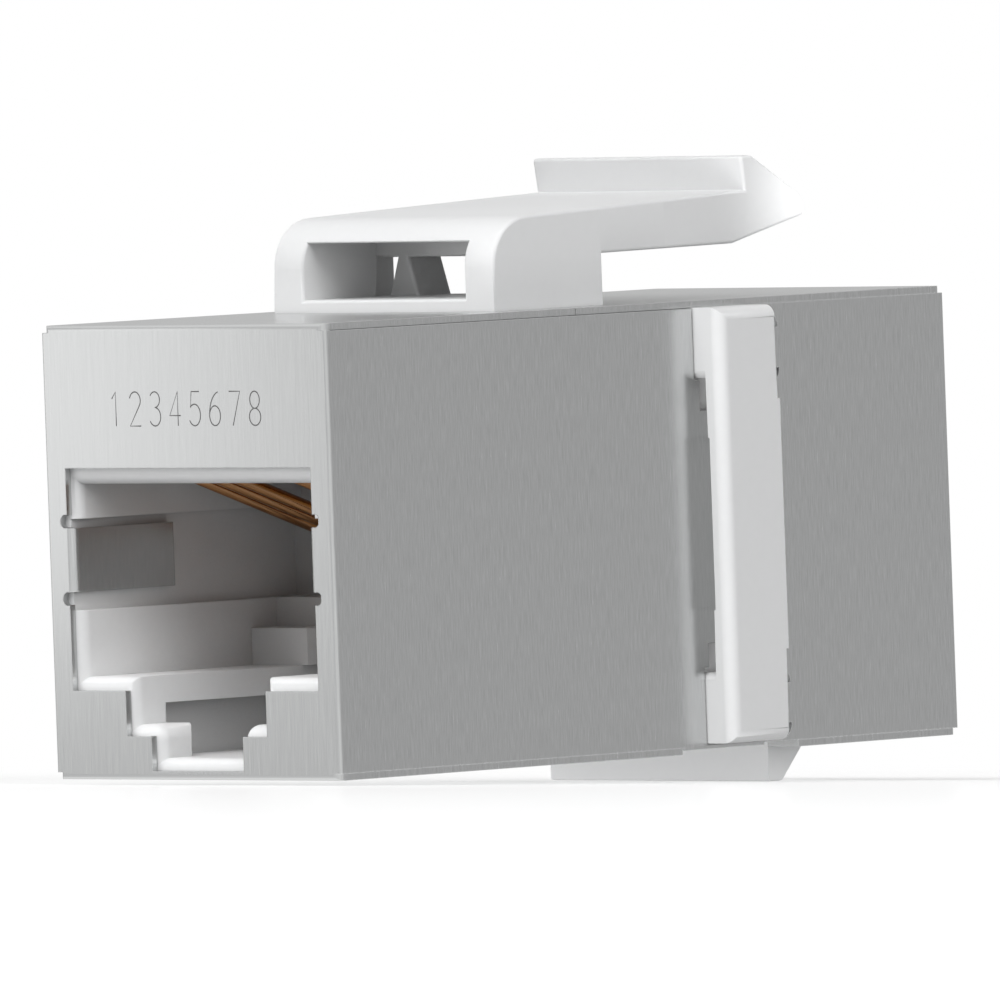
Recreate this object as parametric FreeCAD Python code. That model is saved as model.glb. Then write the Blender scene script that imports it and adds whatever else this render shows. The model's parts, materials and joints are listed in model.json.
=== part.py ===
import FreeCAD, Part
import math
import os

from FreeCAD import Vector

# Shielded keystone coupler: two plug sockets back to back in a moulded frame, wrapped by two folded cans.
# Millimetres. X is across, +Y runs from the front socket to the rear one, +Z is up, towards the latch.
# Y = 0 is the panel seat, where the side ribs meet the panel, and X = Z = 0 is the body's centre line.

# Body section, and its length each way from the panel seat
body_width = 14.5
body_height = 16.0
front_reach = 20.9
rear_reach = 9.6
panel_gap = 1.7

# Clearance between pieces that are slid together
fit = 0.05

# Folded sheet of the two cans
sheet = 0.25
bend_round = 0.13
fold_round = 0.2
cover_inset = 0.1
cover_corner = 0.35
top_seam = 8.6
bottom_seam = 4.1
seam_gap = 0.04
slit_width = 0.07
skirt_drop = 0.09

# Stepped port opening in each end panel
port_half_width = 6.25
port_top = 2.97
port_floor = -4.87
port_step_half_width = 3.57
port_step_floor = -6.47
port_slot_half_width = 2.33

# Ground tabs bent in beside the port, with round relief notches at their roots
tab_width = 2.25
tab_centre = -0.27
tab_reach = 4.9
tab_bend = 0.3
relief_radius = 0.24
relief_offset = 0.1

# Sleeve of the moulded frame
sleeve_wall = 0.35
sleeve_front = 12.0
sleeve_rear = 4.2

# Side ribs: bridges that stand on the sleeve at both ends and stop the body at the panel
rib_depth = 2.77
rib_proud = 1.3
rib_bottom = -7.65
rib_top = 7.75
rib_round = 0.45
rib_slot_height = 10.4
rib_slot_width = 0.52
foot_round = 0.28
foot_gap = 0.18
recess_depth = 0.1
recess_top = 3.15
recess_floor = -2.93
pad_height = 8.85
pad_thickness = 0.15

# Where the cans' side walls meet under the ribs: a tongue, and a notched window behind each foot
tongue_reach = 0.25
tongue_half_height = 4.11
tongue_shoulder = 0.19
window_reach = 1.26
window_height = 2.56
window_round = 0.55
window_tab_width = 1.42
upper_window_centre = 6.18
lower_window_centre = -6.4

# Bottom hook
hook_half_width = 5.55
hook_drop = 1.25
hook_land = 0.64
hook_ramp_angle = 41.0

# Hollow latch block on the sleeve
latch_half_width = 5.6
block_front = 11.05
block_rear = 5.72
block_height = 3.24
block_round = 1.75
top_slope = 0.0402
tunnel_half_width = 4.1
tunnel_rear_half_width = 4.9
tunnel_floor = 0.45
tunnel_height = 2.0
lintel_depth = 1.68
lever_lift = 1.82
pillar_centre = 2.77
pillar_top_width = 0.56
pillar_base_width = 1.48

# Springy lever with its catch tab
lever_end_half_width = 5.3
lever_under_rise = 0.06
lever_kink = 1.15
tip_reach = 4.7
tip_lift = 2.76
tip_round = 0.6
tab_height = 1.21
tab_lean = 0.18
tab_land = 0.6
catch_slope_angle = 32.0

# Plug socket moulding
socket_half_width = 5.9
socket_top = 2.4
socket_floor = -4.4
socket_lip_round = 0.4
socket_depth = 10.85
socket_lower_depth = 9.45
groove_top = 1.17
groove_floor = -2.05
stop_depth = 8.18
stop_inner = 3.05
stop_top = -3.08
latch_way_half_width = 3.33
latch_way_floor = -6.07
latch_slot_half_width = 2.06
latch_slot_floor = -7.25
latch_slot_round = 0.55
latch_lip = 1.45
catch_pocket_half_width = 4.2
catch_pocket_top = -5.37
catch_pocket_wall = 0.4
socket_rear_wall = 1.0
rear_box_wall = 0.8

# Contact wires and the grooved plate that carries them
contact_count = 8
contact_pitch = 1.016
wire_diameter = 0.45
wire_top_height = 4.14
wire_nose_radius = 0.5
wire_nose_depth = 1.72
wire_fall_angle = 19.45
middle_fall_angle = 10.0
wire_fall_length = 8.1
tail_jog = 1.5
tail_jog_radius = 0.6
tail_stub = 0.4
carrier_thickness = 0.7
carrier_groove_depth = 0.175
carrier_half_width = 4.55
carrier_ledge = 0.35
carrier_nose = 1.9
bay_headroom = 0.4

# Circuit board clamped between the two sockets
board_thickness = 1.2
board_inset = 0.3
board_hole_clearance = 0.03

# Places nearer than this are the same place
same_place = 1e-6

# Directions
ALONG_X = Vector(1, 0, 0)
ALONG_Y = Vector(0, 1, 0)
ALONG_Z = Vector(0, 0, 1)

# Places worked out from the sizes above
half_width = body_width / 2
cover_top = body_height / 2
wall_top = cover_top - sheet
front_face = -front_reach
middle = (front_face + rear_reach) / 2
inner_half_width = half_width - sheet
sleeve_half_width = inner_half_width - fit
sleeve_top = wall_top - fit
rib_rear = -pad_thickness
rib_front = rib_rear - rib_depth
rib_centre = (rib_top + rib_bottom) / 2
slot_top = rib_centre + rib_slot_height / 2
slot_floor = rib_centre - rib_slot_height / 2
lever_root = Vector(0, -block_rear, cover_top + lever_lift)
socket_front = front_face + sheet
board_front = middle - board_thickness / 2
tab_low = tab_centre - tab_width / 2
tab_high = tab_centre + tab_width / 2


def box(x, y, z):
    """A block between the low and high value of each pair."""
    size = (x[1] - x[0], y[1] - y[0], z[1] - z[0])
    return Part.makeBox(*size, Vector(x[0], y[0], z[0]))


def slab(half, y, z):
    """A block that is centred across the body."""
    return box((-half, half), y, z)


def cut_all(shape, tools):
    for tool in tools:
        shape = shape.cut(tool)
    return shape


def side_by_side(shape):
    """The shape and its twin on the other side of the body."""
    return [shape, shape.mirror(Vector(0, 0, 0), Vector(1, 0, 0))]


def to_rear(shape):
    """The rear end's twin of a shape at the front end."""
    return shape.mirror(Vector(0, middle, 0), Vector(0, 1, 0))


def mirrored_y(y):
    """Where a place at the rear lies when the rear end is built as a front end."""
    return 2 * middle - y


def edges_where(shape, test):
    return [edge for edge in shape.Edges if test(edge)]


def lies_along(edge, axis):
    direction = edge.lastVertex().Point.sub(edge.firstVertex().Point)
    return direction.Length > same_place and abs(abs(direction.normalize().dot(axis)) - 1) < same_place


def at_place(edge, axis, value):
    """Whether the whole edge lies in a plane across an axis."""
    return all(abs(vertex.Point.dot(axis) - value) < same_place for vertex in edge.Vertexes)


def side_profile(points, half):
    """A closed outline of (y, z) points drawn across the body's full width."""
    corners = [Vector(-half, y, z) for y, z in points]
    face = Part.Face(Part.makePolygon(corners + corners[:1]))
    return face.extrude(Vector(2 * half, 0, 0))


def folded_walls(side_end):
    """An end panel with a side wall folded back from each upright edge."""
    z = (-wall_top, wall_top)
    outer = slab(half_width, (front_face, side_end), z)
    inner = slab(inner_half_width, (front_face + sheet, side_end), z)
    bends = edges_where(outer, lambda edge: lies_along(edge, ALONG_Z) and at_place(edge, ALONG_Y, front_face))
    return outer.makeFillet(bend_round, bends).cut(inner)


def cover(y_end, inner_z, outer_z):
    """A flap folded back from the end panel over the can's top or bottom, with rounded corners."""
    z = (min(inner_z, outer_z), max(inner_z, outer_z))
    flap = slab(half_width - cover_inset, (front_face, y_end), z)

    def at_panel(edge, axis):
        return lies_along(edge, axis) and at_place(edge, ALONG_Y, front_face)

    fold = edges_where(flap, lambda edge: at_panel(edge, ALONG_X) and at_place(edge, ALONG_Z, outer_z))
    corners = edges_where(flap, lambda edge: at_panel(edge, ALONG_Z))
    return flap.makeFillet(fold_round, fold).common(flap.makeFillet(cover_corner, corners))


def port_cutters():
    """The stepped opening for the plug and its latch, with the relief notches beside it."""
    y = (front_face - sheet, front_face + 2 * sheet)
    steps = [
        slab(port_half_width, y, (port_floor, port_top)),
        slab(port_step_half_width, y, (port_step_floor, port_floor + fit)),
        slab(port_slot_half_width, y, (-wall_top, port_step_floor + fit)),
    ]
    notches = []
    for z in (tab_low - relief_radius, tab_high + relief_radius):
        centre = Vector(port_half_width + relief_offset, y[0], z)
        notches += side_by_side(Part.makeCylinder(relief_radius, y[1] - y[0], centre, ALONG_Y))
    return steps + notches


def ground_tab():
    """A tab folded in from the port's edge, so that it presses on the plug's shell."""
    face_x = port_half_width - sheet
    root = box((face_x, port_half_width + relief_offset), (front_face, front_face + sheet), (tab_low, tab_high))
    leg = box((face_x, port_half_width), (front_face, front_face + tab_reach), (tab_low, tab_high))
    tab = root.fuse(leg).removeSplitter()
    outside = edges_where(tab, lambda edge: at_place(edge, ALONG_X, face_x) and at_place(edge, ALONG_Y, front_face))
    return tab.makeFillet(tab_bend, outside)


def shield_can(side_end, top_end, bottom_end):
    """A can as a front end: folded walls, two covers, the port and its ground tabs."""
    can = folded_walls(side_end)
    can = cut_all(can, port_cutters())
    can = can.fuse(cover(top_end, wall_top, cover_top))
    can = can.fuse(cover(bottom_end, -wall_top, -cover_top))
    for tab in side_by_side(ground_tab()):
        can = can.fuse(tab)
    return can


def latch_window():
    """The room that both top covers leave for the latch block."""
    return slab(latch_half_width + fit, (-block_front - fit, -block_rear + fit), (wall_top - fit, cover_top + fit))


def front_shield():
    """The front can, with windows for the ribs' feet and a tongue that reaches into the rear can."""
    can = shield_can(rib_rear, -top_seam, -bottom_seam).cut(latch_window())
    can = can.cut(slab(half_width, (front_face + sheet, rib_rear), (wall_top - slit_width, wall_top)))
    wall_x = (inner_half_width, half_width)
    tongue = box(wall_x, (rib_front, tongue_reach), (-tongue_half_height, tongue_half_height))
    skirt = box(wall_x, (-bottom_seam, rib_rear), (-wall_top - skirt_drop, -wall_top))
    for piece in side_by_side(tongue) + side_by_side(skirt):
        can = can.fuse(piece)
    under_rib = (rib_front - fit, rib_rear)
    beside_tongue = (rib_front + tongue_shoulder, rib_rear)
    windows = [
        box(wall_x, under_rib, (slot_top - fit, wall_top)),
        box(wall_x, under_rib, (rib_bottom - fit, slot_floor + foot_gap)),
        box(wall_x, beside_tongue, (tongue_half_height, slot_top)),
        box(wall_x, beside_tongue, (slot_floor, -tongue_half_height)),
    ]
    for window in windows:
        can = cut_all(can, side_by_side(window))
    return can.removeSplitter()


def window_relief(z_tab, z_outer):
    """A relief at a corner behind a rib's foot: square beside the tab and rounded at the outside."""
    z = (min(z_tab, z_outer), max(z_tab, z_outer))
    relief = box((inner_half_width, half_width), (rib_rear, window_reach), z)
    outside = edges_where(relief, lambda edge: lies_along(edge, ALONG_X) and at_place(edge, ALONG_Y, window_reach)
                          and at_place(edge, ALONG_Z, z_outer))
    return relief.makeFillet(window_round, outside)


def rear_shield():
    """The rear can, cut out for the front can's tongues, the ribs' feet and the hook."""
    can = to_rear(shield_can(
        mirrored_y(rib_rear + fit),
        mirrored_y(-top_seam + seam_gap),
        mirrored_y(panel_gap - fit),
    ))
    tongue_half = tongue_half_height + fit
    tongue_room = box((inner_half_width, half_width), (rib_rear, tongue_reach + fit), (-tongue_half, tongue_half))
    hook_room = slab(hook_half_width + fit, (panel_gap - fit, sleeve_rear), (-cover_top, -wall_top))
    cutters = [latch_window(), hook_room] + side_by_side(tongue_room)
    for centre in (upper_window_centre, lower_window_centre):
        for side in (-1, 1):
            relief = window_relief(centre + side * window_tab_width / 2, centre + side * window_height / 2)
            cutters += side_by_side(relief)
    return cut_all(can, cutters).removeSplitter()


def side_rib():
    """A rib on the right side: two feet on the sleeve and a bridge over the can's side wall."""
    outer = half_width + rib_proud
    rib = box((sleeve_half_width - sleeve_wall / 2, outer), (rib_front, rib_rear), (rib_bottom, rib_top))

    def is_rounded(edge):
        ends = at_place(edge, ALONG_Z, rib_bottom) or at_place(edge, ALONG_Z, rib_top)
        front = at_place(edge, ALONG_Y, rib_front)
        return at_place(edge, ALONG_X, outer) and (ends or front)

    rib = rib.makeFillet(rib_round, edges_where(rib, is_rounded))
    slot_outer = half_width + rib_slot_width
    rib = rib.cut(box((sleeve_half_width, slot_outer), (rib_front, rib_rear), (slot_floor, slot_top)))

    def on_foot(edge):
        at_slot = at_place(edge, ALONG_Z, slot_floor) or at_place(edge, ALONG_Z, slot_top)
        return lies_along(edge, ALONG_X) and at_place(edge, ALONG_Y, rib_front) and at_slot

    rib = rib.makeFillet(foot_round, edges_where(rib, on_foot))
    recess = box((slot_outer, slot_outer + recess_depth), (rib_front, rib_rear), (recess_floor, recess_top))
    pad = box((slot_outer, outer), (rib_rear, 0), (-pad_height / 2, pad_height / 2))
    return rib.cut(recess).fuse(pad)


def bottom_hook():
    """The catch under the body: an upright face for the panel and a ramp that lets it snap in."""
    low = -cover_top - hook_drop
    root = -sleeve_top + sleeve_wall / 2
    land_end = panel_gap + hook_land
    ramp_run = (root - low) / math.tan(math.radians(90 - hook_ramp_angle))
    outline = [(panel_gap, root), (panel_gap, low), (land_end, low), (land_end + ramp_run, root)]
    return side_profile(outline, hook_half_width)


def block_top(y):
    """Height of the latch's top face, which rises gently towards the catch."""
    return cover_top + block_height + top_slope * (y + block_front)


def latch_block():
    """The hollow block that carries the lever, with a window in front and two pillars behind."""
    root = sleeve_top - sleeve_wall / 2
    front, rear = -block_front, -block_rear
    outline = [(front, root), (front, block_top(front)), (rear, block_top(rear)), (rear, root)]
    block = side_profile(outline, latch_half_width)
    nose = edges_where(block, lambda edge: lies_along(edge, ALONG_X) and at_place(edge, ALONG_Y, front)
                       and at_place(edge, ALONG_Z, block_top(front)))
    block = block.makeFillet(block_round, nose)
    floor = cover_top + tunnel_floor
    lintel = rear - lintel_depth
    block = block.cut(slab(tunnel_half_width, (front, lintel), (floor, floor + tunnel_height)))
    block = block.cut(slab(tunnel_rear_half_width, (lintel, rear), (floor, lever_root.z)))
    for pillar in side_by_side(latch_pillar(floor, lintel, rear)):
        block = block.fuse(pillar)
    return block


def latch_pillar(floor, y_front, y_rear):
    """A tapered post between the tunnel's floor and its lintel."""
    corners = [
        (pillar_centre - pillar_base_width / 2, floor),
        (pillar_centre + pillar_base_width / 2, floor),
        (pillar_centre + pillar_top_width / 2, lever_root.z),
        (pillar_centre - pillar_top_width / 2, lever_root.z),
    ]
    points = [Vector(x, y_front, z) for x, z in corners]
    return Part.Face(Part.makePolygon(points + points[:1])).extrude(Vector(0, y_rear - y_front, 0))


def keystone_frame():
    """The moulded sleeve with its ribs, hook and latch block in one piece."""
    y = (-sleeve_front, sleeve_rear)
    bore_half = sleeve_half_width - sleeve_wall
    bore_top = sleeve_top - sleeve_wall
    frame = slab(sleeve_half_width, y, (-sleeve_top, sleeve_top))
    frame = frame.cut(slab(bore_half, y, (-bore_top, bore_top)))
    for piece in side_by_side(side_rib()) + [bottom_hook(), latch_block()]:
        frame = frame.fuse(piece)
    return frame.removeSplitter()


def latch_lever():
    """The springy arm that runs back from the block and ends in the catch tab and its sloping tip."""
    root_y, root_z = lever_root.y, lever_root.z
    catch = panel_gap + tab_lean / 2
    tab_top = block_top(catch) + tab_height
    tab_front = catch - tab_lean
    tip_z = cover_top + tip_lift
    slope = math.tan(math.radians(catch_slope_angle))
    slope_end = tab_top - slope * (tip_reach - tab_front - tab_land)
    outline = [
        (root_y, root_z),
        (lever_kink, root_z + lever_under_rise),
        (tip_reach, tip_z),
        (tip_reach, slope_end),
        (tab_front + tab_land, tab_top),
        (tab_front, tab_top),
        (catch, block_top(catch)),
        (root_y, block_top(root_y)),
    ]
    lever = side_profile(outline, latch_half_width)
    tip = edges_where(lever, lambda edge: lies_along(edge, ALONG_X) and at_place(edge, ALONG_Y, tip_reach)
                      and at_place(edge, ALONG_Z, slope_end))
    lever = lever.makeFillet(tip_round, tip)
    return lever.common(lever_plan(root_y, catch))


def lever_plan(root_y, catch):
    """Plan of the lever: it narrows from the block's width to the tab's."""
    low, high = cover_top, cover_top + body_height
    corners = [
        (-latch_half_width, root_y),
        (latch_half_width, root_y),
        (lever_end_half_width, catch),
        (lever_end_half_width, tip_reach),
        (-lever_end_half_width, tip_reach),
        (-lever_end_half_width, catch),
    ]
    points = [Vector(x, y, low) for x, y in corners]
    return Part.Face(Part.makePolygon(points + points[:1])).extrude(Vector(0, 0, high - low))


def socket_body(waist_start):
    """The socket's outer block: a head in the can, and a waist that slides into the sleeve."""
    head = slab(sleeve_half_width, (socket_front, waist_start), (-sleeve_top, sleeve_top))
    waist_half = sleeve_half_width - sleeve_wall - fit
    waist_top = sleeve_top - sleeve_wall - fit
    waist = slab(waist_half, (waist_start, board_front), (-waist_top, waist_top))
    return head.fuse(waist).removeSplitter()


def socket_mouth():
    """The stepped mouth that takes the plug, cut through the latch lip."""
    right = [
        (socket_half_width, socket_top),
        (socket_half_width, socket_floor),
        (latch_way_half_width, socket_floor),
        (latch_way_half_width, latch_way_floor),
        (latch_slot_half_width, latch_way_floor),
        (latch_slot_half_width, latch_slot_floor),
    ]
    left = [(-x, z) for x, z in reversed(right)]
    points = [Vector(x, socket_front, z) for x, z in right + left]
    return Part.Face(Part.makePolygon(points + points[:1])).extrude(Vector(0, latch_lip, 0))


def plug_socket(waist_start):
    """One plug socket as a front end: mouth, plug room, latch way, contact bay and the box for the tails."""
    socket = socket_body(waist_start).cut(socket_mouth())

    def on_slot_corner(edge):
        beside_slot = any(at_place(edge, ALONG_X, x) for x in (-latch_slot_half_width, latch_slot_half_width))
        return beside_slot and at_place(edge, ALONG_Z, latch_way_floor)

    socket = socket.makeFillet(latch_slot_round, edges_where(socket, on_slot_corner))

    def on_mouth(edge):
        inside = all(abs(v.Point.x) < sleeve_half_width and abs(v.Point.z) < sleeve_top for v in edge.Vertexes)
        return inside and at_place(edge, ALONG_Y, socket_front)

    socket = socket.makeFillet(socket_lip_round, edges_where(socket, on_mouth))
    back = socket_front + socket_depth
    lower_back = socket_front + socket_lower_depth
    behind_lip = socket_front + latch_lip
    pocket_back = waist_start - catch_pocket_wall
    bay_floor = wire_top_height - wire_diameter / 2 + carrier_groove_depth - carrier_thickness
    bay_roof = wire_top_height + wire_diameter / 2 + bay_headroom
    bay_front = socket_front + wire_nose_depth - wire_nose_radius - wire_diameter
    box_front = back + socket_rear_wall
    bay_half = carrier_half_width + fit
    box_half = sleeve_half_width - sleeve_wall - fit - rear_box_wall
    box_top = sleeve_top - sleeve_wall - fit - rear_box_wall
    rooms = [
        slab(socket_half_width, (behind_lip, lower_back), (socket_floor, socket_top)),
        slab(socket_half_width, (behind_lip, back), (groove_floor, socket_top)),
        slab(port_half_width + fit, (socket_front, back), (groove_floor, groove_top)),
        slab(latch_way_half_width, (behind_lip, lower_back), (latch_way_floor, socket_floor)),
        slab(catch_pocket_half_width, (behind_lip, pocket_back), (latch_slot_floor, catch_pocket_top)),
        slab(bay_half - carrier_ledge, (bay_front, back), (socket_top, bay_floor)),
        slab(bay_half, (bay_front, box_front), (bay_floor, bay_roof)),
        slab(box_half, (box_front, board_front), (-box_top, box_top)),
    ]
    socket = cut_all(socket, rooms)
    stop = box((stop_inner, socket_half_width), (socket_front + stop_depth, lower_back), (socket_floor, stop_top))
    for piece in side_by_side(stop):
        socket = socket.fuse(piece)
    return socket.removeSplitter()


def contact_x(number):
    """Place across the port of a contact, counted from the left."""
    return (number - (contact_count + 1) / 2) * contact_pitch


def contact_carrier():
    """The plate in the socket's ceiling, with a groove for each wire."""
    top = wire_top_height - wire_diameter / 2 + carrier_groove_depth
    back = socket_front + socket_depth + socket_rear_wall
    y = (socket_front + carrier_nose, back)
    plate = slab(carrier_half_width, y, (top - carrier_thickness, top))
    half = wire_diameter / 2 + fit
    for number in range(1, contact_count + 1):
        x = contact_x(number)
        plate = plate.cut(box((x - half, x + half), y, (top - carrier_groove_depth, top + fit)))
    return plate


def wire_section(centre, across):
    """An eight-sided face across the body's length, which stands for a wire's round section."""
    radius = across / 2 / math.cos(math.pi / 8)
    angles = [math.pi / 8 + math.pi / 4 * corner for corner in range(8)]
    points = [centre.add(Vector(radius * math.cos(a), 0, radius * math.sin(a))) for a in angles]
    return Part.Face(Part.makePolygon(points + points[:1]))


def contact_wire(number, raised):
    """A spring wire: a tail in the board, a run along the plate, a nose bend and the sloping spring."""
    nose_y = socket_front + wire_nose_depth
    x = contact_x(number)
    in_middle_pair = abs(x) < contact_pitch
    fall = math.radians(middle_fall_angle if in_middle_pair else wire_fall_angle)

    def place(y, z):
        return Vector(x, y, z)

    def arc_point(centre, radius, angle):
        return place(centre[0] + radius * math.cos(angle), centre[1] + radius * math.sin(angle))

    tail_end = board_front + board_thickness + tail_stub
    edges = []
    if raised:
        turn = math.radians(45)
        reach = tail_jog_radius * math.tan(turn / 2)
        run = tail_jog / math.tan(turn)
        jog_end = board_front - reach - fit
        low, high = wire_top_height, wire_top_height + tail_jog
        start = place(tail_end, high)
        upper = (jog_end, high - tail_jog_radius)
        lower = (jog_end - run, low + tail_jog_radius)
        bend_in = place(jog_end - run + reach * math.cos(turn), low + reach * math.sin(turn))
        bend_out = place(jog_end - reach * math.cos(turn), high - reach * math.sin(turn))
        upper_start = place(jog_end + reach, high)
        lower_end = place(jog_end - run - reach, low)
        upper_middle = arc_point((upper_start.y, upper[1]), tail_jog_radius, math.radians(90) + turn / 2)
        lower_middle = arc_point((lower_end.y, lower[1]), tail_jog_radius, math.radians(-90) + turn / 2)
        edges += [
            Part.LineSegment(start, upper_start),
            Part.Arc(upper_start, upper_middle, bend_out),
            Part.LineSegment(bend_out, bend_in),
            Part.Arc(bend_in, lower_middle, lower_end),
        ]
        start = lower_end
    else:
        start = place(tail_end, wire_top_height)
    nose_start = place(nose_y, wire_top_height)
    centre = (nose_y, wire_top_height - wire_nose_radius)
    last_angle = math.radians(270) - fall
    nose_end = arc_point(centre, wire_nose_radius, last_angle)
    nose_middle = arc_point(centre, wire_nose_radius, (math.radians(90) + last_angle) / 2)
    tip = nose_end.add(Vector(0, math.cos(fall), -math.sin(fall)).multiply(wire_fall_length))
    edges += [
        Part.LineSegment(start, nose_start),
        Part.Arc(nose_start, nose_middle, nose_end),
        Part.LineSegment(nose_end, tip),
    ]
    path = Part.Wire([edge.toShape() for edge in edges])
    return path.makePipe(wire_section(path.OrderedVertexes[0].Point, wire_diameter))


def circuit_board():
    """The board that joins each front wire to its rear one, with two rows of holes."""
    half = sleeve_half_width - sleeve_wall - fit - board_inset
    top = sleeve_top - sleeve_wall - fit - board_inset
    y = (board_front, board_front + board_thickness)
    board = slab(half, y, (-top, top))
    across = wire_diameter + 2 * board_hole_clearance
    for number in range(1, contact_count + 1):
        for z in (wire_top_height, wire_top_height + tail_jog):
            hole = wire_section(Vector(contact_x(number), y[0], z), across)
            board = board.cut(hole.extrude(Vector(0, board_thickness, 0)))
    return board


def all_pieces():
    """Every node's name with its solid."""
    pieces = {
        "front_shield": front_shield(),
        "rear_shield": rear_shield(),
        "keystone_frame": keystone_frame(),
        "latch_lever": latch_lever(),
        "front_jack": plug_socket(-sleeve_front - fit),
        "rear_jack": to_rear(plug_socket(mirrored_y(sleeve_rear + fit))),
        "front_contact_carrier": contact_carrier(),
        "rear_contact_carrier": to_rear(contact_carrier()),
        "circuit_board": circuit_board(),
    }
    for number in range(1, contact_count + 1):
        is_even = number % 2 == 0
        pieces[f"front_contact_{number}"] = contact_wire(number, is_even)
        pieces[f"rear_contact_{number}"] = to_rear(contact_wire(number, not is_even))
    return pieces


os.makedirs("parts", exist_ok=True)
for name, shape in all_pieces().items():
    shape.exportStep(os.path.join("parts", name + ".step"))
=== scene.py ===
import json
import math

import bmesh
import bpy
from mathutils import Matrix, Vector

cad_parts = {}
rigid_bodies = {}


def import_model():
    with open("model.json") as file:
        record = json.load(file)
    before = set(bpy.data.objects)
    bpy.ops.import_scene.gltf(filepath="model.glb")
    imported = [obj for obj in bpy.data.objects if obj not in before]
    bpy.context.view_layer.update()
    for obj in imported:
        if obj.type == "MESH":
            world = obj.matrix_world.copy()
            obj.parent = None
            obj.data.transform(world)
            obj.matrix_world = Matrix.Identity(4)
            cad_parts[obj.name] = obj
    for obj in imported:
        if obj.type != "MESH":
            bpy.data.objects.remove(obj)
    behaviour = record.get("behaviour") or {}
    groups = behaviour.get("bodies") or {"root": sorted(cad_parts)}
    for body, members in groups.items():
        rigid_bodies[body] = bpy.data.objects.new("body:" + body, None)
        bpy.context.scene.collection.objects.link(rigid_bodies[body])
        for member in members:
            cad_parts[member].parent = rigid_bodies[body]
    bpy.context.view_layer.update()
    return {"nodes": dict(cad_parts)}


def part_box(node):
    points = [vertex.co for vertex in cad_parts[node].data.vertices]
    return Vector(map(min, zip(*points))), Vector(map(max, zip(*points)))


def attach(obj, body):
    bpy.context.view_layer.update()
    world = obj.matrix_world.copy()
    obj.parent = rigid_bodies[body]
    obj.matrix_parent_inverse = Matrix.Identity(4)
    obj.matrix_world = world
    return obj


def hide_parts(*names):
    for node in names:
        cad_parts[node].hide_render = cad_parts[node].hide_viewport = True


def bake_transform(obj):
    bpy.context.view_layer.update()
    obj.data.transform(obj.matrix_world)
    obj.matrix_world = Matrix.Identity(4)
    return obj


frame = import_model()
nodes = frame["nodes"]
MM = 0.001


# Circuit board
# The board between the two sockets joins each front wire to its rear one. It is glass-filled resin
# under a green solder mask, clamped by the ends of the two mouldings.
weave_scale = 1800.0
mask_dark = (0.01, 0.07, 0.03, 1)
mask_light = (0.02, 0.11, 0.05, 1)


class Shade:
    """A socket among one material's nodes, on which Python's operators add Math nodes."""

    def __init__(self, tree, socket):
        self.tree = tree
        self.socket = socket

    def node(self, kind, settings=None, output=0, **inputs):
        """Any other node: its settings are set first, then its sockets, by name or by number as _0, _1."""
        made = self.tree.nodes.new(kind)
        for name, value in (settings or {}).items():
            if name == "stops":
                ramp = made.color_ramp.elements
                while len(ramp) < len(value):
                    ramp.new(0.5)
                for stop, (place, colour) in zip(ramp, value):
                    stop.position = place
                    stop.color = colour
            else:
                setattr(made, name, value)
        for name, value in inputs.items():
            key = int(name[1:]) if name[0] == "_" else name
            target = made.inputs[key]
            if isinstance(value, Shade):
                self.tree.links.new(value.socket, target)
            else:
                target.default_value = value
        return Shade(self.tree, made.outputs[output])

    def noise(self, scale, detail, **inputs):
        """Noise over these coordinates."""
        return self.node("ShaderNodeTexNoise", Vector=self, Scale=scale, Detail=detail, **inputs)

    def mix(self, first, second):
        """The colour that lies this far from the first to the second."""
        return self.node("ShaderNodeMix", {"data_type": "RGBA"}, output="Result",
                         _0=self, _6=first, _7=second)

    def maths(self, operation, first, second):
        return self.node("ShaderNodeMath", {"operation": operation}, _0=first, _1=second)

    def __add__(self, other):
        return self.maths("ADD", self, other)

    def __radd__(self, other):
        return self.maths("ADD", other, self)

    def __sub__(self, other):
        return self.maths("SUBTRACT", self, other)

    def __rsub__(self, other):
        return self.maths("SUBTRACT", other, self)

    def __mul__(self, other):
        return self.maths("MULTIPLY", self, other)

    def __rmul__(self, other):
        return self.maths("MULTIPLY", other, self)


def new_finish(name, **constants):
    """A material whose shader has these constant sockets, with its object coordinates as a Shade."""
    material = bpy.data.materials.new(name)
    material.use_nodes = True
    shader = material.node_tree.nodes["Principled BSDF"]
    for socket, value in constants.items():
        shader.inputs[socket.replace("_", " ")].default_value = value
    place = Shade(material.node_tree, None).node("ShaderNodeTexCoord", output="Object")
    return material, shader, place


def feed(material, shader, **links):
    """Links each value to the shader's socket of that name."""
    for socket, value in links.items():
        material.node_tree.links.new(value.socket, shader.inputs[socket.replace("_", " ")])


def coat(piece, material):
    """Gives a piece this material alone."""
    piece.data.materials.clear()
    piece.data.materials.append(material)


board_finish, board_shader, board_place = new_finish("board_finish", IOR=1.5, Specular_IOR_Level=0.5)
weave = board_place.noise(weave_scale, 2.0)
feed(board_finish, board_shader, Base_Color=weave.mix(mask_dark, mask_light), Roughness=0.3 + 0.15 * weave)
coat(nodes["circuit_board"], board_finish)


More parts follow.
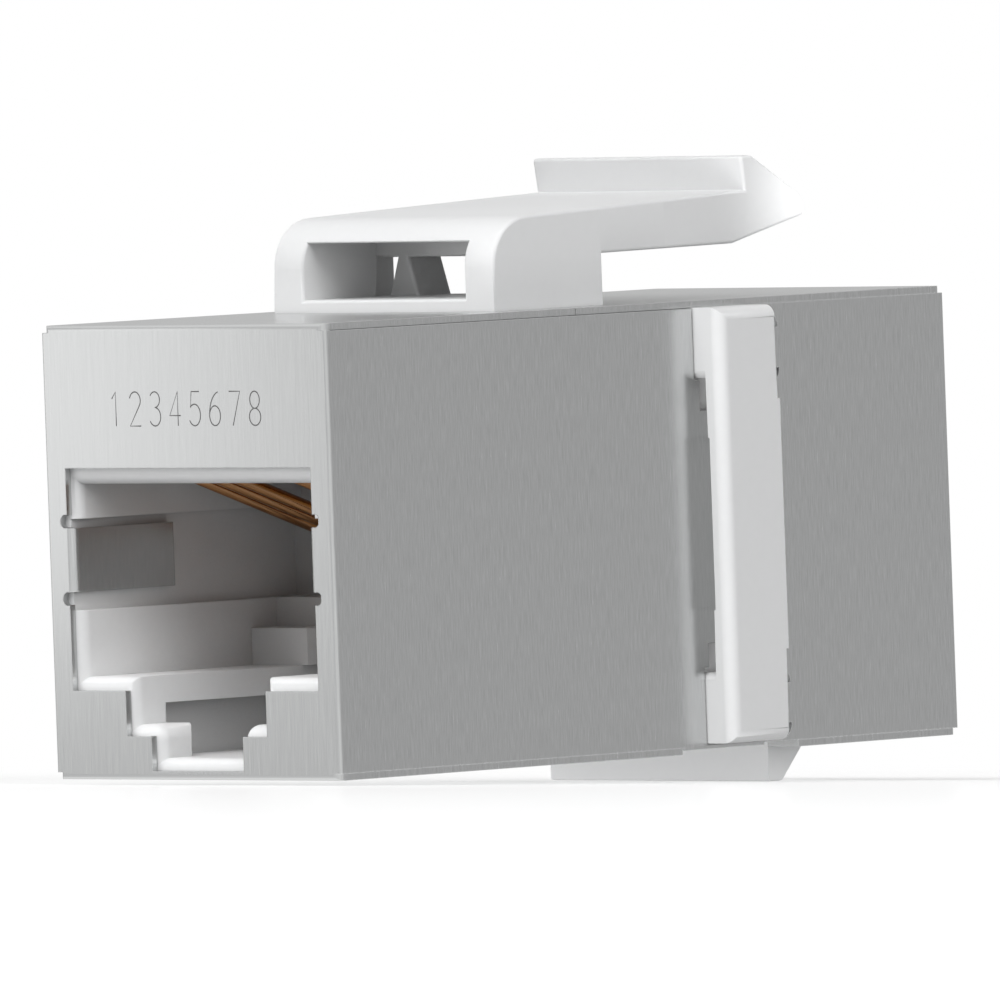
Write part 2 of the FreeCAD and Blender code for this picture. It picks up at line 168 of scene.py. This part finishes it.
# Contact wires
# Eight spring wires at each end, drawn round from phosphor bronze and plated. Each runs from the board along
# its groove in the carrier, turns over a nose near the mouth and slopes back into the plug room. Their colour
# is the plating's brown with a painted highlight on the lower flank and painted shade along the top.
wire_count = 8
middle_wires = (4, 5)
wire_sides = 20
wire_nose_radius = 0.5 * MM
wire_nose_steps = 14
wire_fall_length = 8.1 * MM
wire_fall = math.radians(19.45)
middle_wire_fall = math.radians(10.0)
jog_rise = 1.5 * MM
jog_radius = 0.6 * MM
jog_turn = math.radians(45)
jog_steps = 6
jog_gap = 0.05 * MM
tip_bevel = 0.08 * MM
smooth_angle = math.radians(40)
plating_scale = 300.0
# The wire's colour by which way its surface faces: the plating's brown, a painted highlight on the lower
# flank and painted shade towards the top.
wire_painted_light_tones = ((0.0, (0.56, 0.24, 0.065, 1)), (0.3, (0.80, 0.45, 0.23, 1)), (0.42, (0.62, 0.27, 0.07, 1)),
              (0.7, (0.30, 0.10, 0.015, 1)))
wire_low, wire_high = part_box("front_contact_1")
wire_radius = (wire_high.x - wire_low.x) / 2
wire_run_height = wire_high.z - wire_radius
board_low, board_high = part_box("circuit_board")
body_middle = (board_low.y + board_high.y) / 2


def deselect_all():
    bpy.ops.object.select_all(action="DESELECT")


def pick_only(piece):
    """Makes this the one selected piece, for the operators that follow."""
    deselect_all()
    bpy.context.view_layer.objects.active = piece
    piece.select_set(True)


def extrude_by(y, z):
    bpy.ops.mesh.extrude_region_move(TRANSFORM_OT_translate={"value": (0, y, z)})


def turn_wire(angle, centre_y, centre_z, steps):
    """Bends the wire on from its open end, nose down for a positive angle."""
    bpy.ops.mesh.spin(steps=steps, angle=-angle, center=(0, centre_y, centre_z), axis=(1, 0, 0))


def bent_wire(fall, raised):
    """A wire of the front end on the middle plane, from its tail in the board to the tip of its spring."""
    tail_height = wire_run_height + (jog_rise if raised else 0)
    deselect_all()
    bpy.ops.mesh.primitive_circle_add(vertices=wire_sides, radius=wire_radius, fill_type="NGON",
                                      location=(0, wire_high.y, tail_height),
                                      rotation=(math.radians(90), 0, 0))
    bpy.ops.object.transform_apply(location=True, rotation=True, scale=True)
    wire = bpy.context.object
    bpy.ops.object.mode_set(mode="EDIT")
    bpy.ops.mesh.select_all(action="SELECT")
    run_start = wire_high.y
    if raised:
        turn_length = jog_radius * math.tan(jog_turn / 2)
        jog_end = board_low.y - turn_length - jog_gap
        run_start = jog_end - jog_rise / math.tan(jog_turn) - turn_length
        slope = jog_rise / math.sin(jog_turn) - 2 * turn_length
        extrude_by(jog_end + turn_length - wire_high.y, 0)
        turn_wire(jog_turn, jog_end + turn_length, tail_height - jog_radius, jog_steps)
        extrude_by(-slope * math.cos(jog_turn), -slope * math.sin(jog_turn))
        turn_wire(-jog_turn, run_start, wire_run_height + jog_radius, jog_steps)
    nose = wire_low.y + wire_radius + wire_nose_radius
    extrude_by(nose - run_start, 0)
    turn_wire(math.pi - fall, nose, wire_run_height - wire_nose_radius, wire_nose_steps)
    extrude_by(wire_fall_length * math.cos(fall), -wire_fall_length * math.sin(fall))
    bpy.ops.mesh.bevel(offset=tip_bevel, segments=3)
    bpy.ops.mesh.select_all(action="SELECT")
    bpy.ops.mesh.normals_make_consistent(inside=False)
    bpy.ops.object.mode_set(mode="OBJECT")
    bpy.ops.object.shade_smooth_by_angle(angle=smooth_angle)
    return wire


wire_finish, wire_shader, wire_place = new_finish("wire_finish", Metallic=1.0)
plating = wire_place.noise(plating_scale, 2.0)
wire_facing = wire_place.node("ShaderNodeTexCoord", output="Normal")
wire_rise = wire_place.node("ShaderNodeSeparateXYZ", output="Z", Vector=wire_facing)
# Painted highlight and painted shade on each wire, by how far its surface faces up or down.
wire_colour_with_painted_light = wire_place.node("ShaderNodeValToRGB", {"stops": wire_painted_light_tones}, Fac=0.5 + 0.5 * wire_rise)
feed(wire_finish, wire_shader, Base_Color=wire_colour_with_painted_light, Roughness=0.2 + 0.05 * plating)

wire_forms = {}
for raised in (False, True):
    for fall in (wire_fall, middle_wire_fall):
        wire_forms[raised, fall] = bent_wire(fall, raised)
        coat(wire_forms[raised, fall], wire_finish)
to_rear_end = Matrix.Translation((0, 2 * body_middle, 0)) @ Matrix.Rotation(math.pi, 4, "Z")
for number in range(1, wire_count + 1):
    for end in ("front", "rear"):
        node = f"{end}_contact_{number}"
        low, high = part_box(node)
        raised = (number % 2 == 0) == (end == "front")
        fall = middle_wire_fall if number in middle_wires else wire_fall
        wire = wire_forms[raised, fall].copy()
        wire.data = wire.data.copy()
        wire.name = f"{end}_wire_{number}"
        bpy.context.scene.collection.objects.link(wire)
        if end == "rear":
            wire.data.transform(to_rear_end)
        wire.data.transform(Matrix.Translation(((low.x + high.x) / 2, 0, 0)))
        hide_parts(node)
        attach(wire, "housing")
for form in wire_forms.values():
    bpy.data.objects.remove(form)


# Socket mouldings and contact carriers
# Two mouldings of white nylon, one at each end, with the plug room, the latch way and the room for the wires.
# Each one holds a grooved plate in its ceiling, and the ends of both clamp the board. The corners beside the
# latch slot are round at the mouth and square further in. Shade is painted into their colour where they are
# shut in, darkest deep in the plug room.
socket_edge = 0.06 * MM
grain_scale = 3500.0
grain_height = 0.00002
socket_dark = (0.80, 0.805, 0.81, 1)
socket_light = (0.83, 0.835, 0.84, 1)
# Painted shade: the tone that the sockets' colour passes to where they are shut in, darkest deep in the plug
# room.
socket_painted_shade_tone = (0.38, 0.38, 0.38, 1)
painted_shade_reach = 6.0 * MM
painted_shade_gain = 1.6
enlarged = Matrix.Scale(1 / MM, 4)
reduced = Matrix.Scale(MM, 4)
same_place = 0.001
flat_angle = math.radians(1)
level_angle = math.radians(5)
flat_face_weight = 90
lip_back = -19.2
slot_round = 0.55
slot_round_margin = slot_round / 10
slot_arc = Vector((2.61, 0, -6.62))


def painted_shade_in_recesses(place, recess, colour):
    """A colour that passes to a painted shade tone where the surface is shut in, standing in for the shade in
    recesses.
    """
    openness = place.node("ShaderNodeAmbientOcclusion", {"samples": 8}, output="AO", Distance=painted_shade_reach)
    return (openness * painted_shade_gain).mix(recess, colour)


def loose_copy(node, name):
    """A CAD solid's copy in millimetres, merged to whole flat faces and ready to be shaped."""
    piece = nodes[node].copy()
    piece.data = nodes[node].data.copy()
    piece.name = name
    piece.parent = None
    piece.matrix_world = Matrix.Identity(4)
    bpy.context.scene.collection.objects.link(piece)
    piece.data.transform(enlarged)
    pick_only(piece)
    bpy.ops.object.mode_set(mode="EDIT")
    bpy.ops.mesh.select_all(action="SELECT")
    bpy.ops.mesh.remove_doubles(threshold=same_place)
    bpy.ops.mesh.customdata_custom_splitnormals_clear()
    bpy.ops.mesh.dissolve_limited(angle_limit=flat_angle)
    bpy.ops.object.mode_set(mode="OBJECT")
    return piece


def select_where(piece, kind, test):
    """Selects the edges or faces of the mesh being edited for which the test holds."""
    bpy.ops.mesh.select_mode(type=kind)
    bpy.ops.mesh.select_all(action="DESELECT")
    mesh = bmesh.from_edit_mesh(piece.data)
    for element in mesh.edges if kind == "EDGE" else mesh.faces:
        element.select_set(test(element))
    bmesh.update_edit_mesh(piece.data)


def finish_shape(piece):
    """Brings a shaped copy back to metres, flat where it is flat and smooth round its edges."""
    piece.data.transform(reduced)
    pick_only(piece)
    bpy.ops.object.shade_smooth_by_angle(angle=smooth_angle)
    bpy.ops.object.mode_set(mode="EDIT")
    select_where(piece, "EDGE", lambda edge: edge.is_manifold and edge.calc_face_angle() < level_angle)
    bpy.ops.mesh.mark_sharp()
    bpy.ops.object.mode_set(mode="OBJECT")
    even = piece.modifiers.new("even_normals", "WEIGHTED_NORMAL")
    even.keep_sharp = True
    even.weight = flat_face_weight
    bpy.ops.object.modifier_apply(modifier=even.name)


def square_slot_corner(corner, depth):
    """Moves a point of the slot's round, at the back of the lip, out to the square corner."""
    inward = slot_arc.x - abs(corner.x)
    rise = corner.z - slot_arc.z
    off_round = abs(math.hypot(inward, rise) - slot_round)
    if max(abs(depth - lip_back), off_round) < slot_round_margin:
        stretch = slot_round / max(inward, rise)
        corner.x = math.copysign(slot_arc.x - inward * stretch, corner.x)
        corner.z = slot_arc.z + rise * stretch


socket_finish, socket_shader, socket_place = new_finish("socket_finish", IOR=1.5)
grain = socket_place.noise(grain_scale, 3.0)
# Painted shade where the socket is shut in, over the grain's random tone.
socket_grain_and_painted_shade = painted_shade_in_recesses(socket_place, socket_painted_shade_tone, grain.mix(socket_dark, socket_light))
soft_socket = socket_place.node("ShaderNodeBevel", {"samples": 4}, Radius=socket_edge)
socket_bump = socket_place.node("ShaderNodeBump", Height=grain, Strength=0.05, Distance=grain_height,
                                Normal=soft_socket)
feed(socket_finish, socket_shader, Base_Color=socket_grain_and_painted_shade, Roughness=0.36 + 0.1 * grain, Normal=socket_bump)
for end in ("front", "rear"):
    coat(nodes[f"{end}_contact_carrier"], socket_finish)
    socket = loose_copy(f"{end}_jack", f"{end}_socket")
    for vertex in socket.data.vertices:
        square_slot_corner(vertex.co, vertex.co.y if end == "front" else 2 * body_middle / MM - vertex.co.y)
    finish_shape(socket)
    coat(socket, socket_finish)
    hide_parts(f"{end}_jack")
    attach(socket, "housing")


# Keystone frame and latch lever
# One white moulding: a thin sleeve with side ribs, a hook and a hollow block, and the springy lever that runs
# back from the block. Its outer edges are rounded by the tool, and the lever's copy is cut across in thin
# slices near its root, where the real lever bends.
sharp_angle = math.radians(25)
block_edge = 0.13
hook_edge = 0.07
rib_edge = 0.05
rib_edge_length = 1.0
cover_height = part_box("front_shield")[1].z / MM
side_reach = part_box("front_shield")[1].x / MM
edge_margin = 0.05
lever_root = -5.42
lever_floor = 9.3
bend_step = 0.3
bend_count = 10
satin_scale = 3000.0
frame_dark = (0.845, 0.85, 0.855, 1)
frame_light = (0.87, 0.875, 0.88, 1)
# Painted shade: the tone that the frame's colour passes to where it is shut in, in the tunnel and the rib
# slots.
frame_painted_shade_tone = (0.68, 0.68, 0.68, 1)


def is_corner(edge):
    return edge.is_manifold and edge.is_convex and edge.calc_face_angle() > sharp_angle


def reach(edge, axis):
    """How far the nearer end of an edge lies from the middle along an axis, with that side's sign."""
    low, high = sorted(corner.co[axis] for corner in edge.verts)
    return low if low > 0 else high if high < 0 else 0.0


def round_edges(piece, test, width, segments):
    select_where(piece, "EDGE", lambda edge: is_corner(edge) and test(edge))
    bpy.ops.mesh.bevel(offset=width, segments=segments, clamp_overlap=False)


def close_cut(piece):
    """Caps the section that a cut has left open."""
    pick_only(piece)
    bpy.ops.object.mode_set(mode="EDIT")
    select_where(piece, "EDGE", lambda edge: edge.is_boundary)
    bpy.ops.mesh.edge_face_add()
    bpy.ops.object.mode_set(mode="OBJECT")


moulding = loose_copy("keystone_frame", "frame_moulding")
arm = loose_copy("latch_lever", "lever_blank")
pick_only(moulding)
join = moulding.modifiers.new("join", "BOOLEAN")
join.operation = "UNION"
join.solver = "EXACT"
join.object = arm
bpy.ops.object.modifier_apply(modifier=join.name)
bpy.data.objects.remove(arm)
bpy.ops.object.mode_set(mode="EDIT")
bpy.ops.mesh.select_all(action="SELECT")
bpy.ops.mesh.dissolve_limited(angle_limit=flat_angle)
round_edges(moulding, lambda edge: reach(edge, 2) > cover_height + edge_margin, block_edge, 3)
round_edges(moulding, lambda edge: reach(edge, 2) < -cover_height - edge_margin, hook_edge, 2)
round_edges(moulding, lambda edge: abs(reach(edge, 0)) > side_reach and edge.calc_length() > rib_edge_length,
            rib_edge, 2)
select_where(moulding, "FACE", lambda face: face.calc_center_median().z > lever_floor)
bpy.ops.mesh.bisect(plane_co=(0, lever_root, 0), plane_no=(0, 1, 0))
select_where(moulding, "FACE", lambda face: face.calc_center_median().z > lever_floor
             and face.calc_center_median().y > lever_root)
bpy.ops.mesh.separate(type="SELECTED")
bpy.ops.object.mode_set(mode="OBJECT")
lever = next(piece for piece in bpy.context.selected_objects if piece != moulding)
lever.name = "lever_moulding"
close_cut(moulding)
close_cut(lever)
bpy.ops.object.mode_set(mode="EDIT")
for step in range(1, bend_count + 1):
    bpy.ops.mesh.select_all(action="SELECT")
    bpy.ops.mesh.bisect(plane_co=(0, lever_root + step * bend_step, 0), plane_no=(0, 1, 0))
bpy.ops.object.mode_set(mode="OBJECT")
finish_shape(moulding)
finish_shape(lever)

frame_finish, frame_shader, frame_place = new_finish("frame_finish", IOR=1.5)
satin = frame_place.noise(satin_scale, 3.0)
# Painted shade where the frame is shut in, over the satin's random tone.
frame_satin_and_painted_shade = painted_shade_in_recesses(frame_place, frame_painted_shade_tone, satin.mix(frame_dark, frame_light))
frame_bump = frame_place.node("ShaderNodeBump", Height=satin, Strength=0.05, Distance=grain_height)
feed(frame_finish, frame_shader, Base_Color=frame_satin_and_painted_shade, Roughness=0.33 + 0.1 * satin, Normal=frame_bump)
for piece, node in ((moulding, "keystone_frame"), (lever, "latch_lever")):
    coat(piece, frame_finish)
    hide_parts(node)
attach(moulding, "housing")
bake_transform(lever)


# Shield cans
# Two cans folded from thin stainless sheet that was brushed before it was cut and bent. The lines run up and
# down on the walls and along the covers, and show less on the ends. The front can's side walls stop a hair
# below its top cover.
can_edge = 0.05 * MM
slit_floor = 7.68
slit_roof = 7.735
lip_reach = 2.4
lip_depth = -20.6
lip_low = -7.75
lip_high = -7.69
brush_scale = 24000.0
brush_height = 0.00001
cover_stretch = 0.04
side_stretch = 0.05
end_stretch = 0.025
end_softening = 0.45
steel_dark = (0.50, 0.506, 0.506, 1)
steel_light = (0.77, 0.778, 0.778, 1)
front_can = loose_copy("front_shield", "front_can")
for vertex in front_can.data.vertices:
    corner = vertex.co
    if abs(corner.z - slit_floor) < edge_margin / 2:
        corner.z = slit_roof
    under_port = abs(corner.x) < lip_reach and corner.y < lip_depth
    if under_port and abs(corner.z - lip_low) < edge_margin / 2:
        corner.z = lip_high
finish_shape(front_can)

can_finish, can_shader, can_place = new_finish("can_finish", Metallic=1.0)
can_facing = can_place.node("ShaderNodeTexCoord", output="Normal")
across, along, upward = (can_place.node("ShaderNodeSeparateXYZ", output=axis, Vector=can_facing)
                         for axis in "XYZ")
on_sides = across * across
on_ends = along * along
on_covers = upward * upward
run_along = 1.0 - (1.0 - cover_stretch) * on_covers
run_upward = side_stretch * on_sides + end_stretch * on_ends + on_covers
run = can_place.node("ShaderNodeCombineXYZ", X=1.0, Y=run_along, Z=run_upward)
stretched = can_place.node("ShaderNodeVectorMath", {"operation": "MULTIPLY"}, _0=can_place, _1=run)
brushing = stretched.noise(brush_scale, 3.0, Roughness=0.65)
shown = 0.5 + (brushing - 0.5) * (1.0 - end_softening * on_ends)
soft_can = can_place.node("ShaderNodeBevel", {"samples": 4}, Radius=can_edge)
can_bump = can_place.node("ShaderNodeBump", Height=shown, Strength=0.04, Distance=brush_height,
                          Normal=soft_can)
feed(can_finish, can_shader, Base_Color=shown.mix(steel_dark, steel_light), Roughness=0.2 + 0.1 * brushing,
     Normal=can_bump)
coat(front_can, can_finish)
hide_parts("front_shield")
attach(front_can, "housing")
coat(nodes["rear_shield"], can_finish)


# Contact numbers
# The numbers of the eight contacts, burnt by laser as dark hairlines into the front panel over the port. Each
# stands over its own wire, and its strokes are straight runs and arcs in a box one wide and two high.
number_height = 1.2 * MM
number_width = 0.55 * MM
number_centre = 5.05 * MM
line_radius = 0.032 * MM
line_sink = 0.02 * MM
arc_step = 12.0
line_smooth_angle = math.radians(50)
burn_scale = 6000.0
burn_dark = (0.10, 0.10, 0.10, 1)
burn_light = (0.20, 0.20, 0.20, 1)


def arc(x, z, half_width, half_height, start, end):
    """Points round part of an ellipse, between two angles in degrees."""
    count = math.ceil(abs(end - start) / arc_step)
    angles = [math.radians(start + (end - start) * point / count) for point in range(count + 1)]
    return [(x + half_width * math.cos(angle), z + half_height * math.sin(angle)) for angle in angles]


number_strokes = {
    1: [[(0.2, 1.6), (0.55, 2.0), (0.55, 0.0)]],
    2: [arc(0.5, 1.5, 0.5, 0.5, 165, -38) + [(0.0, 0.0), (1.0, 0.0)]],
    3: [arc(0.48, 1.54, 0.46, 0.46, 150, -90) + arc(0.48, 0.54, 0.52, 0.54, 90, -150)],
    4: [[(0.76, 0.0), (0.76, 2.0), (0.0, 0.6), (1.0, 0.6)]],
    5: [[(0.92, 2.0), (0.2, 2.0), (0.1, 1.06)] + arc(0.46, 0.63, 0.54, 0.63, 132, -150)],
    6: [arc(1.0, 0.58, 1.0, 1.42, 102, 180) + arc(0.5, 0.58, 0.5, 0.58, 180, 540)],
    7: [[(0.0, 2.0), (1.0, 2.0), (0.3, 0.0)]],
    8: [arc(0.5, 1.5, 0.44, 0.5, -90, 270) + arc(0.5, 0.5, 0.52, 0.5, 90, 450)],
}
panel_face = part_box("front_shield")[0].y
number_lines = bpy.data.curves.new("contact_numbers", "CURVE")
number_lines.dimensions = "3D"
number_lines.bevel_depth = line_radius
number_lines.bevel_resolution = 2
number_lines.use_fill_caps = True
for number, strokes in number_strokes.items():
    low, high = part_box(f"front_contact_{number}")
    left = (low.x + high.x - number_width) / 2
    for stroke in strokes:
        line = number_lines.splines.new("POLY")
        line.points.add(len(stroke) - 1)
        for point, (x, z) in zip(line.points, stroke):
            height = number_centre + (z - 1) * number_height / 2
            point.co = (left + x * number_width, panel_face + line_sink, height, 1)
numbers = bpy.data.objects.new("contact_numbers", number_lines)
bpy.context.scene.collection.objects.link(numbers)
pick_only(numbers)
bpy.ops.object.convert(target="MESH")
numbers = bpy.context.object
bpy.ops.object.shade_smooth_by_angle(angle=line_smooth_angle)
number_finish, number_shader, number_place = new_finish("number_finish", Metallic=0.6)
burn = number_place.noise(burn_scale, 3.0)
feed(number_finish, number_shader, Base_Color=burn.mix(burn_dark, burn_light), Roughness=0.45 + 0.2 * burn)
coat(numbers, number_finish)
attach(numbers, "housing")


# Floor
# A plain white table, seen almost edge on. The part rests on the land of its hook, with its front edge just
# clear. The table keeps a faint reflection and the shadow near the part, and is plain white further out.
floor_height = -9.185 * MM
floor_lean = (-0.048, -0.0014, 0)
floor_size = 6.0
table_colour = (0.8, 0.8, 0.8, 1)
table_white = (1, 1, 1, 1)
table_glow = 0.53
table_gloss = 0.3
shadow_middle = (0.2507, -0.2442, 0)
shadow_reach = 0.368
shadow_end = 0.425
deselect_all()
bpy.ops.mesh.primitive_plane_add(size=floor_size, location=(0, 0, floor_height), rotation=floor_lean)
floor = bpy.context.object
floor.name = "floor"
floor_finish, floor_shader, floor_place = new_finish("floor_finish", Base_Color=table_colour,
                                                     Specular_IOR_Level=0.0)
floor_matt = Shade(floor_finish.node_tree, floor_shader.outputs[0])
floor_glow = floor_place.node("ShaderNodeEmission", Color=table_white, Strength=table_glow)
floor_pale = floor_place.node("ShaderNodeAddShader", _0=floor_matt, _1=floor_glow)
floor_mirror = floor_place.node("ShaderNodeBsdfGlossy", Color=table_white, Roughness=0.15)
floor_near = floor_place.node("ShaderNodeMixShader", _0=table_gloss, _1=floor_pale, _2=floor_mirror)
floor_far = floor_place.node("ShaderNodeEmission", Color=table_white, Strength=1.0)
floor_distance = floor_place.node("ShaderNodeVectorMath", {"operation": "DISTANCE"}, output="Value",
                                  _0=floor_place, _1=shadow_middle)
floor_fade = floor_place.node("ShaderNodeMapRange", {"interpolation_type": "SMOOTHSTEP"},
                              Value=floor_distance, _1=shadow_reach, _2=shadow_end)
floor_mix = floor_place.node("ShaderNodeMixShader", _0=floor_fade, _1=floor_near, _2=floor_far)
floor_output = floor_finish.node_tree.nodes["Material Output"]
floor_finish.node_tree.links.new(floor_mix.socket, floor_output.inputs["Surface"])
coat(floor, floor_finish)
floor.visible_diffuse = False
floor.visible_glossy = False
floor.visible_shadow = False


# Studio
# A white room that metal mirrors a little unevenly, soft panels of light, a card close to the front panel,
# faint lamps in the rib slots, a soft lamp on the lever's tip, and the camera at the photograph's place.
# Some panels light only the sockets with their wires, only the rest, the lever alone, or all but the lever.
above = (0, 0, 1)
below = (0, 0, -1)
left_side = (-0.7193, -0.6947, 0)
right_side = (0.7193, 0.6947, 0)
near_side = (0.6947, -0.7193, 0)
far_side = (-0.6947, 0.7193, 0)
mirrored_glow = {above: 1.3, below: 1.5, left_side: 0.65, near_side: 0.85, right_side: 0.47, far_side: 0.54}
filling_glow = {below: 0.2, left_side: 0.2, far_side: 0.5}
world = bpy.data.worlds.new("white_room")
bpy.context.scene.world = world
world.use_nodes = True
world.cycles.sampling_method = "NONE"
room = Shade(world.node_tree, None)
room_direction = room.node("ShaderNodeTexCoord", output="Generated")


def glow_from(sides):
    """How bright the room is in each direction, from the strength of its glow on each side."""
    total = 0.0
    for side, strength in sides.items():
        facing = room.node("ShaderNodeVectorMath", {"operation": "DOT_PRODUCT"}, output="Value",
                           _0=room_direction, _1=side)
        facing = room.node("ShaderNodeMath", {"operation": "MAXIMUM"}, _0=facing, _1=0.0)
        total = total + strength * facing * facing
    return total


camera_ray = room.node("ShaderNodeLightPath", output="Is Camera Ray")
glossy_ray = room.node("ShaderNodeLightPath", output="Is Glossy Ray")
diffuse_ray = room.node("ShaderNodeLightPath", output="Is Diffuse Ray")
room_strength = camera_ray + glossy_ray * glow_from(mirrored_glow) + diffuse_ray * glow_from(filling_glow)
room_light = world.node_tree.nodes["Background"]
room_light.inputs["Color"].default_value = (1, 1, 1, 1)
world.node_tree.links.new(room_strength.socket, room_light.inputs["Strength"])

inside = bpy.data.collections.new("inside_the_cans")
outside = bpy.data.collections.new("outside_the_cans")
lever_alone = bpy.data.collections.new("lever_alone")
all_but_lever = bpy.data.collections.new("all_but_lever")
for piece in bpy.context.scene.objects:
    (lever_alone if piece == lever else all_but_lever).objects.link(piece)
    if piece.type == "MESH" and piece != floor:
        deep = piece.name.endswith(("_socket", "_carrier")) or "_wire_" in piece.name
        (inside if deep else outside).objects.link(piece)


def add_light(name, kind, place, target, power):
    """A lamp at a place that faces the target, unseen by the camera."""
    light = bpy.data.lights.new(name, kind)
    light.energy = power
    lamp = bpy.data.objects.new(name, light)
    bpy.context.scene.collection.objects.link(lamp)
    lamp.location = place
    lamp.rotation_euler = (Vector(target) - Vector(place)).to_track_quat("-Z", "Y").to_euler()
    lamp.visible_camera = False
    return lamp


panel_size = 0.6
panel_distance = 1.0
panel_target = Vector((0, -0.006, 0))
# Each panel's elevation and bearing in degrees, its watts, and the pieces that it lights if not all
panels = {
    "right_panel": (20, -10, 4.2, None),
    "low_panel": (-25, -60, 4.3, outside),
    "front_top_panel": (58, -90, 3.3, None),
    "left_panel": (12, -136, 3.7, all_but_lever),
    "right_top_panel": (58, -44, 2.8, None),
    "front_panel": (30, -90, 0.8, None),
    "back_panel": (4, 130, 3.6, None),
    "lever_panel": (12, -136, 1.6, lever_alone),
    "port_panel": (45, -60, 2.5, inside),
    "port_low_panel": (-25, -110, 1.5, inside),
}
for name, (elevation, bearing, power, lit_pieces) in panels.items():
    rise = math.radians(elevation)
    turn = math.radians(bearing)
    towards = Vector((math.cos(rise) * math.cos(turn), math.cos(rise) * math.sin(turn), math.sin(rise)))
    panel = add_light(name, "AREA", panel_target + towards * panel_distance, panel_target, power)
    panel.data.size = panel_size
    panel.visible_glossy = False
    if lit_pieces:
        panel.light_linking.receiver_collection = lit_pieces

card_place = (-0.0611, -0.0626, 0.0091)
card_target = (-0.008, -0.0209, 0.005)
card_power = 0.0017
card_size = 0.03
card = add_light("front_card", "AREA", card_place, card_target, card_power)
card.data.size = card_size
card.visible_diffuse = False

rib_slot_floor = 7.27 * MM
rib_middle = -1.7 * MM
rib_glow_width = 2.4 * MM
rib_glow_height = 10.0 * MM
rib_glow_power = 0.000028
for side in (-1, 1):
    glow_place = Vector((side * rib_slot_floor, rib_middle, 0))
    rib_glow = add_light("rib_glow", "AREA", glow_place, glow_place + Vector((side, 0, 0)), rib_glow_power)
    rib_glow.data.shape = "RECTANGLE"
    rib_glow.data.size = rib_glow_width
    rib_glow.data.size_y = rib_glow_height
    rib_glow.visible_glossy = False

tip_lamp_place = (0.3, 0.12, 0.03)
lever_tip = (0.0055, 0.0078, 0.0117)
tip_lamp_power = 4.0
tip_lamp_spread = math.radians(2.2)
tip_lamp_radius = 0.002
tip_lamp = add_light("tip_lamp", "SPOT", tip_lamp_place, lever_tip, tip_lamp_power)
tip_lamp.data.spot_size = tip_lamp_spread
tip_lamp.data.spot_blend = 1.0
tip_lamp.data.shadow_soft_size = tip_lamp_radius
tip_lamp.visible_glossy = False

camera_place = (0.781533, -0.761142, 0.035823)
image_right = (0.695378, 0.717732, -0.036197)
image_up = (0.002235, 0.048208, 0.998835)
view_back = (0.718641, -0.694649, 0.031919)
camera_data = bpy.data.cameras.new("camera")
camera_data.sensor_width = 36
camera_data.lens = 1105.3
camera_data.clip_end = 10
camera = bpy.data.objects.new("camera", camera_data)
bpy.context.scene.collection.objects.link(camera)
camera_turn = Matrix((image_right, image_up, view_back)).transposed().to_4x4()
camera.matrix_world = Matrix.Translation(camera_place) @ camera_turn
bpy.context.scene.camera = camera
bpy.context.scene.view_settings.view_transform = "Standard"
